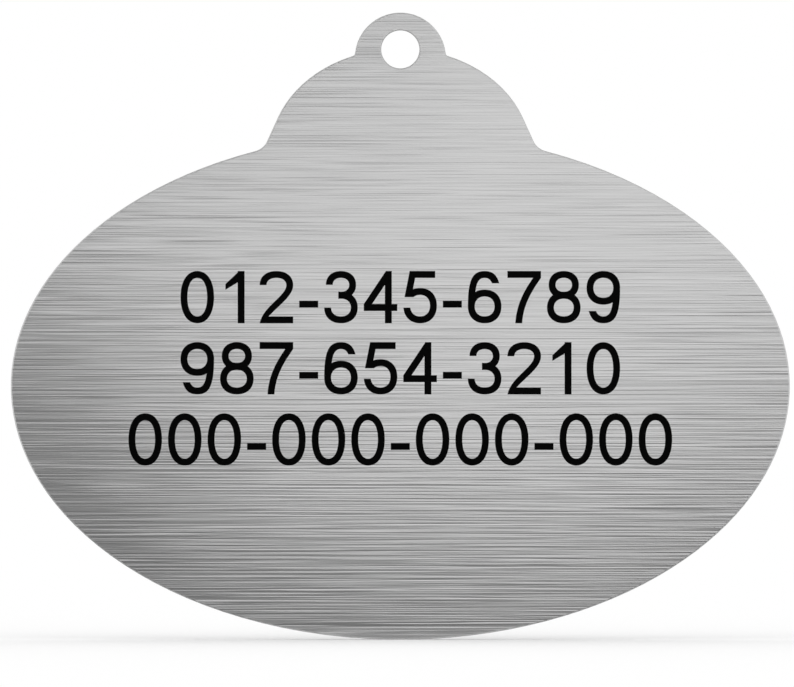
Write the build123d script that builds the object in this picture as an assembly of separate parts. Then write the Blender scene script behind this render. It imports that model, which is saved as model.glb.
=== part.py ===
from build123d import *
import math
import os

# Flat pet id tag: a brushed steel plate with three lines of plain numbers cut into its front and filled
# with black enamel. Millimetres. +X is to the right, +Z is up, and the numbers face -Y. The origin is the
# middle of the hanging hole, halfway through the plate.

# Plate
body_width = 50.8
body_height = 33.05
plate_thickness = 1.5
rim_radius = 0.08

# Crown: the dome that stands on the body's top edge, on straight flanks that lean inwards
crown_width = 17.0
crown_height = 13.65
crown_seat = 1.34          # the body's top edge lies this far above the middle of the dome's oval
flank_lean = 24.5          # degrees off the vertical
crown_fillet = 1.15

# Tab: the round ear on the crown, with the hanging hole
tab_width = 5.95
tab_seat = 0.62            # the crown's top lies this far above the middle of the tab
tab_fillet = 0.2
hole_diameter = 2.5
hole_wall = 1.14           # metal between the hole and the top of the tab

# Numbers
marking_lines = {
    "upper": "012-345-6789",
    "middle": "987-654-3210",
    "lower": "000-000-000-000",
}
digit_width = 2.19
digit_height = 3.41
stroke_width = 0.45
dash_width = 1.24
digit_gap = 0.39
line_gap = 1.23
marking_rise = 1.17        # the middle line lies this far above the middle of the body
engraving_depth = 0.25
fill_recess = 0.03         # the enamel stops this far below the plate's face
cut_overrun = 0.5

# Shapes of the numerals, as shares of their width across and of their height up
bowl_fullness_share = 0.61
hook_fullness_share = 0.74
one_stem_share = 0.525
one_flag_shares = ((0.16, 0.64), (0.62, 0.82), (0.62, 1.0), (0.57, 1.0), (0.16, 0.75))
two_bowl_share = 0.54
two_foot_share = 0.27
two_turn_share = 0.52
two_outer_shares = (0.56, 0.34)
two_inner_shares = (0.1, 0.33)
upper_bowl_share = 0.53
upper_bowl_width_share = 0.9
three_opening_share = 0.42
four_stem_share = 0.63
four_bar_share = 0.235
four_crest_share = 0.66
five_bowl_share = 0.675
five_bar_shares = (0.19, 0.95)
five_foot_shares = (0.035, 0.5)
five_terminal_share = 0.3
six_bowl_share = 0.645
six_terminal_share = 0.765
seven_top_share = 0.76
seven_leg_shares = ((0.235, 0.0), (0.26, 0.36), (0.51, 0.64))
dash_rise_share = 0.3

# Levels along Z
tab_top = hole_diameter / 2 + hole_wall
tab_middle = tab_top - tab_width / 2
crown_top = tab_middle + tab_seat
crown_middle = crown_top - crown_height / 2
body_top = crown_middle + crown_seat
body_middle = body_top - body_height / 2


def spot(shares):
    """Point in a numeral's cell, from its shares of the cell's width and height."""
    across_share, up_share = shares
    return Vector(across_share * digit_width, up_share * digit_height)


def bar(left, bottom, right, top):
    """Upright rectangle between two corners."""
    return Polygon((left, bottom), (right, bottom), (right, top), (left, top))


def oval(middle_y, width, height, fullness_share):
    """Closed oval of four quarters about the middle of the cell, fuller than an ellipse by its share."""
    stations = [Vector(width / 2, 0), Vector(0, height / 2), Vector(-width / 2, 0), Vector(0, -height / 2)]
    quarters = []
    for start, end in zip(stations, stations[1:] + stations[:1]):
        leaving = start + end * fullness_share
        arriving = end + start * fullness_share
        quarters.append(Bezier(start, leaving, arriving, end))
    return Pos(digit_width / 2, middle_y) * make_face(quarters)


def ring(middle_y, width, height, fullness_share=bowl_fullness_share):
    """Oval loop of one stroke's width."""
    outer = oval(middle_y, width, height, fullness_share)
    inner = oval(middle_y, width - 2 * stroke_width, height - 2 * stroke_width, fullness_share)
    return outer - inner


def zero():
    return ring(digit_height / 2, digit_width, digit_height)


def one():
    stem_left = one_stem_share * digit_width
    stem = bar(stem_left, 0, stem_left + stroke_width, digit_height)
    flag = Polygon(*[spot(shares) for shares in one_flag_shares])
    return stem + flag


def two():
    bowl_height = two_bowl_share * digit_height
    bowl_middle = digit_height - bowl_height / 2
    turn_level = two_turn_share * digit_height
    inner_right = digit_width - stroke_width
    foot = (two_foot_share * digit_width, stroke_width)
    bowl = ring(bowl_middle, digit_width, bowl_height) - bar(0, 0, digit_width, bowl_middle)
    outer = Bezier((digit_width, bowl_middle), (digit_width, turn_level), spot(two_outer_shares), foot)
    inner = Bezier((inner_right, bowl_middle), (inner_right, turn_level), spot(two_inner_shares), (0, 0))
    tail = make_face([outer, Line(foot, (0, 0)), inner, Line(inner @ 0, outer @ 0)])
    base = Polygon((0, 0), (digit_width, 0), (digit_width, stroke_width), foot)
    return bowl + tail + base


def double_bowl():
    """Two loops that share one stroke where they meet, with the middles of the lower and the upper."""
    upper_height = upper_bowl_share * digit_height
    lower_height = digit_height + stroke_width - upper_height
    upper_middle = digit_height - upper_height / 2
    lower_middle = lower_height / 2
    upper = ring(upper_middle, upper_bowl_width_share * digit_width, upper_height)
    lower = ring(lower_middle, digit_width, lower_height)
    return upper + lower, lower_middle, upper_middle


def three():
    bowls, lower_middle, upper_middle = double_bowl()
    return bowls - bar(0, lower_middle, three_opening_share * digit_width, upper_middle)


def four():
    stem_left = four_stem_share * digit_width
    stem_right = stem_left + stroke_width
    bar_bottom = four_bar_share * digit_height
    bar_top = bar_bottom + stroke_width
    crest = four_crest_share * digit_width
    slope_rise = digit_height - bar_top
    slope_width = stroke_width * math.hypot(crest, slope_rise) / slope_rise
    counter_top = bar_top + (stem_left - slope_width) * slope_rise / crest
    sail = Polygon(
        (0, bar_bottom),
        (stem_right, bar_bottom),
        (stem_right, digit_height),
        (crest, digit_height),
        (0, bar_top),
    )
    counter = Polygon((slope_width, bar_top), (stem_left, bar_top), (stem_left, counter_top))
    stem = bar(stem_left, 0, stem_right, bar_top)
    crossbar = bar(0, bar_bottom, digit_width, bar_top)
    return sail - counter + stem + crossbar


def five():
    bowl_height = five_bowl_share * digit_height
    bar_left_share, bar_right_share = five_bar_shares
    bar_left = bar_left_share * digit_width
    foot_left_share, foot_level_share = five_foot_shares
    foot_left = foot_left_share * digit_width
    foot_level = foot_level_share * digit_height
    top_bar = bar(bar_left, digit_height - stroke_width, bar_right_share * digit_width, digit_height)
    upright = Polygon(
        (foot_left, foot_level),
        (foot_left + stroke_width, foot_level),
        (bar_left + stroke_width, digit_height),
        (bar_left, digit_height),
    )
    bowl = ring(bowl_height / 2, digit_width, bowl_height)
    opening = bar(0, five_terminal_share * digit_height, digit_width / 2, foot_level)
    return bowl - opening + upright + top_bar


def six():
    bowl_height = six_bowl_share * digit_height
    bowl_middle = bowl_height / 2
    bowl = ring(bowl_middle, digit_width, bowl_height)
    hook = ring(bowl_middle, digit_width, 2 * (digit_height - bowl_middle), hook_fullness_share)
    hook -= bar(0, -digit_height, digit_width, bowl_middle)
    hook -= bar(digit_width / 2, 0, digit_width, six_terminal_share * digit_height)
    return bowl + hook


def seven():
    bar_bottom = digit_height - stroke_width
    foot, lower, upper = [spot(shares) for shares in seven_leg_shares]
    top = Vector(seven_top_share * digit_width, bar_bottom)
    foot_width = Vector(stroke_width, 0)
    top_width = Vector(digit_width, bar_bottom) - top
    left = Bezier(foot, lower, upper, top)
    right = Bezier(foot + foot_width, lower + foot_width, upper + top_width, top + top_width)
    leg = make_face([left, Line(left @ 1, right @ 1), right, Line(right @ 0, left @ 0)])
    return leg + bar(0, bar_bottom, digit_width, digit_height)


def eight():
    return double_bowl()[0]


def nine():
    return Pos(digit_width, digit_height) * Rot(0, 0, 180) * six()


def dash():
    bottom = dash_rise_share * digit_height
    return bar(0, bottom, dash_width, bottom + stroke_width)


numerals = (zero, one, two, three, four, five, six, seven, eight, nine)


def line_faces(line_name, text, line_bottom):
    """Outlines of one line's characters by node name, with the line centred on the plate."""
    widths = [dash_width if character == "-" else digit_width for character in text]
    left = -(sum(widths) + digit_gap * (len(text) - 1)) / 2
    counts = {"digit": 0, "dash": 0}
    faces = {}
    for character, width in zip(text, widths):
        kind = "dash" if character == "-" else "digit"
        face = dash() if kind == "dash" else numerals[int(character)]()
        counts[kind] += 1
        faces[f"{line_name}_line_{kind}_{counts[kind]}"] = Pos(left, line_bottom) * face
        left += width + digit_gap
    return faces


def marking_faces():
    """Outlines of every character by node name, drawn flat with up along Y."""
    line_pitch = digit_height + line_gap
    line_bottom = body_middle + marking_rise + line_pitch - digit_height / 2
    faces = {}
    for line_name, text in marking_lines.items():
        faces.update(line_faces(line_name, text, line_bottom))
        line_bottom -= line_pitch
    return faces


def below_front(face, top_depth, bottom_depth):
    """Solid of a flat outline between two depths under the plate's front face."""
    front = Plane(origin=(0, top_depth - plate_thickness / 2, 0), x_dir=(1, 0, 0), z_dir=(0, -1, 0))
    return extrude(front * face, -(bottom_depth - top_depth))


def crown_face():
    """Dome with its flanks, which leave the oval where they touch it and run down to the body's middle."""
    half_width = crown_width / 2
    half_height = crown_height / 2
    lean = math.tan(math.radians(flank_lean))
    touch_angle = math.atan(lean * half_height / half_width)
    touch_x = half_width * math.cos(touch_angle)
    touch_z = crown_middle + half_height * math.sin(touch_angle)
    foot_x = touch_x + lean * (touch_z - body_middle)
    start_angle = math.degrees(touch_angle)
    dome = EllipticalCenterArc(
        (0, crown_middle), half_width, half_height, start_angle, arc_size=180 - 2 * start_angle
    )
    flanks = Polyline((-touch_x, touch_z), (-foot_x, body_middle), (foot_x, body_middle), (touch_x, touch_z))
    return make_face([dome, flanks])


def upright_edges(solid):
    """Edges that run through the plate's thickness, in groups from the lowest to the highest."""
    return solid.edges().filter_by(Axis.Y).group_by(Axis.Z)


def tag_plate(faces):
    body = Pos(0, body_middle) * Ellipse(body_width / 2, body_height / 2)
    tab = Pos(0, tab_middle) * Circle(tab_width / 2)
    blank = below_front(body + crown_face() + tab, 0, plate_thickness)
    # The lowest group is the seam of the body's oval, the next the corners under the crown
    blank = fillet(upright_edges(blank)[1], crown_fillet)
    blank = fillet(upright_edges(blank)[-1], tab_fillet)
    blank -= below_front(Circle(hole_diameter / 2), -cut_overrun, plate_thickness + cut_overrun)
    front = blank.faces().sort_by(Axis.Y)[0]
    back = blank.faces().sort_by(Axis.Y)[-1]
    plate = fillet(front.edges() + back.edges(), rim_radius)
    return plate - [below_front(face, -cut_overrun, engraving_depth) for face in faces.values()]


def main():
    os.makedirs("parts", exist_ok=True)
    faces = marking_faces()
    export_step(tag_plate(faces), "parts/tag_plate.step")
    for node, face in faces.items():
        export_step(below_front(face, fill_recess, engraving_depth), f"parts/{node}.step")


main()
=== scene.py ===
import math
from collections import namedtuple

import bpy
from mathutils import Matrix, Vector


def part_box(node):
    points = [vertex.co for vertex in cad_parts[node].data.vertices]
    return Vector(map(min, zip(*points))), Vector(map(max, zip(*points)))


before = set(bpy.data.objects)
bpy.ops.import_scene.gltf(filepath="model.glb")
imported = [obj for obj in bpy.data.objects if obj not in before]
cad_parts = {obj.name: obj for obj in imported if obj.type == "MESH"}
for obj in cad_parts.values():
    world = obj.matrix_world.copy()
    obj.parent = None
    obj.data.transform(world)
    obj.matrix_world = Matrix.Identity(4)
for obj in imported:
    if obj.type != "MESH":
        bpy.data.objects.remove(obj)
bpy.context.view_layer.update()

# A flat steel pet tag in plain white studio light, seen straight on. Metres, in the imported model's frame.
# The brush lines run along X, the numbers face -Y and the hanging tab points up along Z.

plate_low, plate_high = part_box("tag_plate")

MILLIMETRE = 0.001

# Photograph: its frame, and the plate's edges in it, in pixels
PHOTO_WIDTH = 794
PHOTO_HEIGHT = 687
PLATE_LEFT = 10.9
PLATE_RIGHT = 789.8
PLATE_TOP = 12.6
PLATE_BOTTOM = 639.6

# Camera: a long lens, in millimetres, which sees the plate straight on all over
LENS = 900
SENSOR_WIDTH = 36
QUARTER_TURN = math.radians(90)

# Floor: its reach in millimetres, its grey, and the light that lifts it to white as background
FLOOR_REACH = 400
FLOOR_GREY = 0.9
FLOOR_LIFT = 0.1

# Grey boards of the studio that only reflections see: sizes in millimetres, and how light each is
FLAG_REACH = 44
FLAG_HALF_WIDTH = 40
SLAT_PITCH = 1.5
SLAT_HEIGHT = 0.7
SLAT_LEVEL = 0.17
SIDE_FLAG_LEVEL = 0.2
TOP_FLAG_LEVEL = 0.36

# Outlines of the upright boards: millimetres to the right of the hole and up from the floor
SIDE_FLAG_OUTLINE = [
    (-FLAG_HALF_WIDTH, 0),
    (FLAG_HALF_WIDTH, 0),
    (FLAG_HALF_WIDTH, 20),
    (20, 8),
    (10, 2.5),
    (2, 6),
    (-10, 7),
    (-24, 23),
    (-FLAG_HALF_WIDTH, 34),
]
TOP_FLAG_OUTLINE = [
    (-FLAG_HALF_WIDTH, 36),
    (-8, 43),
    (8, 58),
    (FLAG_HALF_WIDTH, 60),
    (FLAG_HALF_WIDTH, 85),
    (-FLAG_HALF_WIDTH, 85),
]

# Noise: most of it lies in this range
NOISE_RANGE = (0.3, 0.7)
NOISE_ROUGHNESS = 0.6

# Brushing: rows of lines, with a thickness and a length in millimetres and a seed for each kind
BrushLine = namedtuple("BrushLine", "thickness length seed")
FINE_LINE = BrushLine(thickness=0.05, length=10, seed=3)
COARSE_LINE = BrushLine(thickness=0.085, length=20, seed=71)
HAIRLINE = BrushLine(thickness=0.062, length=12, seed=151)
COARSE_SHARE = 0.35
LINE_LEAN = 0.82
LINE_NOISE_ROUGHNESS = 0.4

# The rows wander up and down a little, in millimetres
WANDER_SIZE = (60, 60, 20)
WANDER_HEIGHT = 0.15

# Each row's chance number sends it to its own place in the noise, and the back's rows are numbered apart
ROW_START_SPREAD = 911
ROW_KIND_SPREAD = 353
ROWS_TO_BACK = 4099

# Steel: its colour, and the tones that brush lines, hairlines and clouds give the faces
STEEL_COLOUR = (0.67, 0.67, 0.67, 1.0)
NO_COLOUR = (0.0, 0.0, 0.0, 1.0)
LINE_SLOPES = (-0.25, 0.05)
LINE_TONES = (0.9, 1.0)
HAIRLINE_SLOPES = (-0.25, 0.09)
HAIRLINE_TONES = (0.87, 1.0)
CLOUD_SIZE = (30, 30, 12)
CLOUD_TONES = (0.985, 1.0)

# Gloss of the faces: long bands, in millimetres, and highlights drawn out a quarter turn from the lines
BAND_SIZE = (40, 40, 0.9)
BAND_ROUGHNESS = (0.28, 0.34)
STEEL_ANISOTROPY = 0.4
ANISOTROPY_TURN = 0.25

# Cut rim: marks across the sheet, with sizes in millimetres, and the worn edge between face and rim
FACE_NORMALS = (0.55, 0.98)
CUT_MARK_SIZE = (0.16, 4, 0.16)
CUT_MARK_DEPTH = 0.02
CUT_MARK_STRENGTH = 0.8
CUT_MARK_TONES = (0.6, 0.76)
CUT_MARK_ROUGHNESS = (0.36, 0.5)
WEAR_TONE = 0.12

# Enamel: black with a little dust and a soft ripple, with sizes in millimetres
ENAMEL_BLACK = (0.0006, 0.0006, 0.0006, 1.0)
ENAMEL_DUST = (0.003, 0.003, 0.0031, 1.0)
DUST_SIZE = (0.09, 0.09, 0.09)
DUST_RANGE = (0.45, 0.8)
RIPPLE_SIZE = (0.5, 0.5, 0.5)
RIPPLE_DEPTH = 0.03
RIPPLE_STRENGTH = 0.6
RIPPLE_ROUGHNESS = (0.3, 0.5)
ENAMEL_SHINE = 0.02

NONE_TO_ALL = (0.0, 1.0)


def add_node(tree, kind, settings=None, inputs=None):
    """Adds a shader node, with its properties and the values or links of its inputs."""
    made = tree.nodes.new("ShaderNode" + kind)
    for name, value in (settings or {}).items():
        setattr(made, name, value)
    for name, value in (inputs or {}).items():
        if isinstance(value, bpy.types.NodeSocket):
            tree.links.new(value, made.inputs[name])
        else:
            made.inputs[name].default_value = value
    return made


def new_material(name):
    """An empty material with its tree and its output node."""
    material = bpy.data.materials.new(name)
    material.use_nodes = True
    material.node_tree.nodes.clear()
    output = add_node(material.node_tree, "OutputMaterial")
    return material, material.node_tree, output


def math_node(tree, operation, first, second=0.0):
    """The result of one sum."""
    return add_node(tree, "Math", {"operation": operation}, {0: first, 1: second}).outputs[0]


def product(tree, *factors):
    """All the factors multiplied together."""
    result = factors[0]
    for factor in factors[1:]:
        result = math_node(tree, "MULTIPLY", result, factor)
    return result


def remap(tree, value, from_range, to_range):
    """Value moved from one range to another, held at its ends."""
    inputs = {
        "Value": value,
        "From Min": from_range[0],
        "From Max": from_range[1],
        "To Min": to_range[0],
        "To Max": to_range[1],
    }
    return add_node(tree, "MapRange", inputs=inputs).outputs["Result"]


def mix_values(tree, share, low, high):
    """A number between low, where the share is 0, and high, where it is 1."""
    return add_node(tree, "Mix", inputs={0: share, 2: low, 3: high}).outputs[0]


def mix_colours(tree, share, low, high):
    """A colour between low, where the share is 0, and high, where it is 1."""
    return add_node(tree, "Mix", {"data_type": "RGBA"}, {0: share, 6: low, 7: high}).outputs[2]


def object_place(tree):
    """The place on the piece as separate X, Y and Z, in metres."""
    return add_node(tree, "SeparateXYZ", inputs={0: add_node(tree, "TexCoord").outputs["Object"]}).outputs


def grain(tree, size, detail, seed):
    """Noise from 0 to 1 with features of about this size, in millimetres along X, Y and Z."""
    place = add_node(tree, "TexCoord").outputs["Object"]
    scale = [1 / (side * MILLIMETRE) for side in size]
    mapping_inputs = {"Vector": place, "Scale": scale, "Location": (seed, seed, seed)}
    mapped = add_node(tree, "Mapping", inputs=mapping_inputs).outputs[0]
    noise_inputs = {"Vector": mapped, "Scale": 1.0, "Detail": detail, "Roughness": NOISE_ROUGHNESS}
    return add_node(tree, "TexNoise", inputs=noise_inputs).outputs["Fac"]


def row_height(tree, place, line, rows_up):
    """Height from 0 to 1 of a row of brushing. It changes slowly along X and starts afresh in each row."""
    wander = product(tree, grain(tree, WANDER_SIZE, detail=0, seed=line.seed), WANDER_HEIGHT * MILLIMETRE)
    level = math_node(tree, "ADD", place["Z"], wander)
    row = math_node(tree, "FLOOR", math_node(tree, "DIVIDE", level, line.thickness * MILLIMETRE))
    back = product(tree, math_node(tree, "GREATER_THAN", place["Y"]), ROWS_TO_BACK)
    number = math_node(tree, "ADD", math_node(tree, "ADD", row, back), line.seed + rows_up)
    chance = add_node(tree, "TexWhiteNoise", {"noise_dimensions": "1D"}, {"W": number}).outputs["Value"]
    along = math_node(tree, "DIVIDE", place["X"], line.length * MILLIMETRE)
    start = product(tree, chance, ROW_START_SPREAD)
    spot_inputs = {"X": math_node(tree, "ADD", along, start), "Y": product(tree, chance, ROW_KIND_SPREAD)}
    spot = add_node(tree, "CombineXYZ", inputs=spot_inputs).outputs[0]
    noise_inputs = {"Vector": spot, "Scale": 1.0, "Detail": 1.0, "Roughness": LINE_NOISE_ROUGHNESS}
    return add_node(tree, "TexNoise", {"noise_dimensions": "2D"}, noise_inputs).outputs["Fac"]


def brush_lines(tree, line):
    """Straight lines along X: the slope, about zero, from each row of brushing to the next."""
    place = object_place(tree)
    this_row = row_height(tree, place, line, rows_up=0)
    next_row = row_height(tree, place, line, rows_up=1)
    return math_node(tree, "SUBTRACT", next_row, this_row)


def face_share(tree):
    """1 on the plate's two flat faces, 0 on its cut rim and in the hole, between them on the rounding."""
    normal = add_node(tree, "TexCoord").outputs["Normal"]
    across = add_node(tree, "SeparateXYZ", inputs={0: normal}).outputs["Y"]
    return remap(tree, math_node(tree, "ABSOLUTE", across), FACE_NORMALS, NONE_TO_ALL)


def lean_along_z(tree, slope):
    """The surface's normal, leaned up or down the plate by a slope."""
    lean = add_node(tree, "CombineXYZ", inputs={"Z": slope}).outputs[0]
    to_world = {"vector_type": "VECTOR", "convert_from": "OBJECT", "convert_to": "WORLD"}
    turned = add_node(tree, "VectorTransform", to_world, {0: lean}).outputs[0]
    surface = add_node(tree, "NewGeometry").outputs["Normal"]
    leaning = add_node(tree, "VectorMath", {"operation": "ADD"}, {0: surface, 1: turned}).outputs[0]
    return add_node(tree, "VectorMath", {"operation": "NORMALIZE"}, {0: leaning}).outputs[0]


def steel_tone(tree, face, rim, lines, cut_marks):
    """How much of the steel's colour shows: lines on the faces, marks on the rim, a worn edge between."""
    line_tone = remap(tree, lines, LINE_SLOPES, LINE_TONES)
    hairline_tone = remap(tree, brush_lines(tree, HAIRLINE), HAIRLINE_SLOPES, HAIRLINE_TONES)
    cloud_tone = remap(tree, grain(tree, CLOUD_SIZE, detail=1, seed=13), NOISE_RANGE, CLOUD_TONES)
    face_tone = product(tree, line_tone, hairline_tone, cloud_tone)
    rim_tone = remap(tree, cut_marks, NOISE_RANGE, CUT_MARK_TONES)
    wear = product(tree, face, rim, WEAR_TONE)
    return math_node(tree, "ADD", mix_values(tree, face, rim_tone, face_tone), wear)


def steel_roughness(tree, face, cut_marks):
    """Long bands of slightly different gloss on the faces, and a duller rim."""
    bands = grain(tree, BAND_SIZE, detail=2, seed=7)
    face_roughness = remap(tree, bands, NOISE_RANGE, BAND_ROUGHNESS)
    rim_roughness = remap(tree, cut_marks, NOISE_RANGE, CUT_MARK_ROUGHNESS)
    return mix_values(tree, face, rim_roughness, face_roughness)


def steel_normal(tree, face, rim, lines, cut_marks):
    """The brush lines lean the faces up and down, and the cut marks stand on the rim."""
    inputs = {
        "Height": cut_marks,
        "Strength": product(tree, rim, CUT_MARK_STRENGTH),
        "Distance": CUT_MARK_DEPTH * MILLIMETRE,
        "Normal": lean_along_z(tree, product(tree, lines, LINE_LEAN, face)),
    }
    return add_node(tree, "Bump", inputs=inputs).outputs[0]


def brushed_steel():
    """Stainless sheet, brushed along X on both faces."""
    material, tree, output = new_material("brushed_steel")
    face = face_share(tree)
    rim = math_node(tree, "SUBTRACT", 1.0, face)
    lines = mix_values(tree, COARSE_SHARE, brush_lines(tree, FINE_LINE), brush_lines(tree, COARSE_LINE))
    cut_marks = grain(tree, CUT_MARK_SIZE, detail=2, seed=29)
    tone = steel_tone(tree, face, rim, lines, cut_marks)
    tangent = add_node(tree, "Tangent", {"direction_type": "RADIAL", "axis": "Z"})
    inputs = {
        "Base Color": mix_colours(tree, tone, NO_COLOUR, STEEL_COLOUR),
        "Metallic": 1.0,
        "Roughness": steel_roughness(tree, face, cut_marks),
        "Anisotropic": STEEL_ANISOTROPY,
        "Anisotropic Rotation": ANISOTROPY_TURN,
        "Tangent": tangent.outputs[0],
        "Normal": steel_normal(tree, face, rim, lines, cut_marks),
    }
    shader = add_node(tree, "BsdfPrincipled", inputs=inputs)
    tree.links.new(shader.outputs[0], output.inputs["Surface"])
    return material


def black_enamel():
    """Satin black fill with a soft ripple and a trace of dust."""
    material, tree, output = new_material("black_enamel")
    ripple = grain(tree, RIPPLE_SIZE, detail=3, seed=41)
    dust = remap(tree, grain(tree, DUST_SIZE, detail=1, seed=53), DUST_RANGE, NONE_TO_ALL)
    bump_inputs = {"Height": ripple, "Strength": RIPPLE_STRENGTH, "Distance": RIPPLE_DEPTH * MILLIMETRE}
    inputs = {
        "Base Color": mix_colours(tree, dust, ENAMEL_BLACK, ENAMEL_DUST),
        "Roughness": remap(tree, ripple, NOISE_RANGE, RIPPLE_ROUGHNESS),
        "Specular IOR Level": ENAMEL_SHINE,
        "Normal": add_node(tree, "Bump", inputs=bump_inputs).outputs[0],
    }
    shader = add_node(tree, "BsdfPrincipled", inputs=inputs)
    tree.links.new(shader.outputs[0], output.inputs["Surface"])
    return material


def dress_nodes():
    """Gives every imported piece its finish: steel on the plate, enamel in the numbers."""
    steel = brushed_steel()
    enamel = black_enamel()
    for name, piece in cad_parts.items():
        piece.data.materials.clear()
        piece.data.materials.append(steel if name == "tag_plate" else enamel)


def white_world():
    """Even white light from all round, which is also the background."""
    world = bpy.data.worlds.new("studio")
    world.use_nodes = True
    background = world.node_tree.nodes["Background"]
    background.inputs["Color"].default_value = (1.0, 1.0, 1.0, 1.0)
    background.inputs["Strength"].default_value = 1.0
    bpy.context.scene.world = world


def sheet(name, outlines, material):
    """Flat pieces of the studio in one object, each with an outline of corners in metres."""
    corners = []
    faces = []
    for outline in outlines:
        faces.append(range(len(corners), len(corners) + len(outline)))
        corners.extend(outline)
    mesh = bpy.data.meshes.new(name)
    mesh.from_pydata(corners, [], faces)
    mesh.materials.append(material)
    made = bpy.data.objects.new(name, mesh)
    bpy.context.scene.collection.objects.link(made)
    return made


def pale_floor():
    """A white floor under the tag. It keeps the shadow, and is lifted to white only as background."""
    material, tree, output = new_material("floor")
    path = add_node(tree, "LightPath")
    seen = math_node(tree, "MAXIMUM", path.outputs["Is Camera Ray"], path.outputs["Is Glossy Ray"])
    white = math_node(tree, "MAXIMUM", seen, path.outputs["Is Transmission Ray"])
    matte = add_node(tree, "BsdfDiffuse", inputs={"Color": (FLOOR_GREY, FLOOR_GREY, FLOOR_GREY, 1.0)})
    lift = add_node(tree, "Emission", inputs={"Strength": product(tree, white, FLOOR_LIFT)})
    both = add_node(tree, "AddShader", inputs={0: matte.outputs[0], 1: lift.outputs[0]})
    tree.links.new(both.outputs[0], output.inputs["Surface"])
    reach = FLOOR_REACH * MILLIMETRE
    square = [(-reach, -reach), (reach, -reach), (reach, reach), (-reach, reach)]
    corners = [(x, y, plate_low.z) for x, y in square]
    sheet("floor", [corners], material)


def dark_flag(name, outlines, level):
    """Grey boards that only reflections see, which shade the steel as in the photograph."""
    material, tree, output = new_material(name)
    grey = add_node(tree, "Emission", inputs={"Color": (level, level, level, 1.0)})
    tree.links.new(grey.outputs[0], output.inputs["Surface"])
    flag = sheet(name, outlines, material)
    flag.visible_camera = False
    flag.visible_diffuse = False
    flag.visible_transmission = False
    flag.visible_shadow = False


def slat_outlines(away):
    """Low upright slats along X on the floor, from the plate's face out to the upright boards."""
    side = FLAG_HALF_WIDTH * MILLIMETRE
    ground = plate_low.z
    top = ground + SLAT_HEIGHT * MILLIMETRE
    slats = []
    for number in range(1, int(FLAG_REACH / SLAT_PITCH)):
        y = away * (plate_high.y + number * SLAT_PITCH * MILLIMETRE)
        slats.append([(-side, y, ground), (side, y, ground), (side, y, top), (-side, y, top)])
    return slats


def upright_outline(away, outline):
    """An upright board's corners in metres, with its left on the left as one looks at that side."""
    y = away * FLAG_REACH * MILLIMETRE
    return [(-away * x * MILLIMETRE, y, plate_low.z + z * MILLIMETRE) for x, z in outline]


def shade_reflections():
    """Boards before and behind the tag: low slats on the floor, one up the side and one above the tab."""
    for name, away in (("front", -1), ("back", 1)):
        dark_flag(name + "_slats", slat_outlines(away), SLAT_LEVEL)
        dark_flag(name + "_side_flag", [upright_outline(away, SIDE_FLAG_OUTLINE)], SIDE_FLAG_LEVEL)
        dark_flag(name + "_top_flag", [upright_outline(away, TOP_FLAG_OUTLINE)], TOP_FLAG_LEVEL)


def place_camera():
    """Straight on to the plate's front, with a long lens, framed as in the photograph."""
    metres_per_pixel = (plate_high.x - plate_low.x) / (PLATE_RIGHT - PLATE_LEFT)
    pixels_right = (PLATE_LEFT + PLATE_RIGHT - PHOTO_WIDTH) / 2
    pixels_up = (PHOTO_HEIGHT - PLATE_TOP - PLATE_BOTTOM) / 2
    data = bpy.data.cameras.new("camera")
    data.lens = LENS
    data.sensor_width = SENSOR_WIDTH
    distance = PHOTO_WIDTH * metres_per_pixel * LENS / SENSOR_WIDTH
    camera = bpy.data.objects.new("camera", data)
    camera.location = (
        (plate_low.x + plate_high.x) / 2 - pixels_right * metres_per_pixel,
        plate_low.y - distance,
        (plate_low.z + plate_high.z) / 2 - pixels_up * metres_per_pixel,
    )
    camera.rotation_euler = (QUARTER_TURN, 0, 0)
    bpy.context.scene.collection.objects.link(camera)
    bpy.context.scene.camera = camera


dress_nodes()
white_world()
pale_floor()
shade_reflections()
place_camera()
bpy.context.scene.view_settings.view_transform = "Standard"
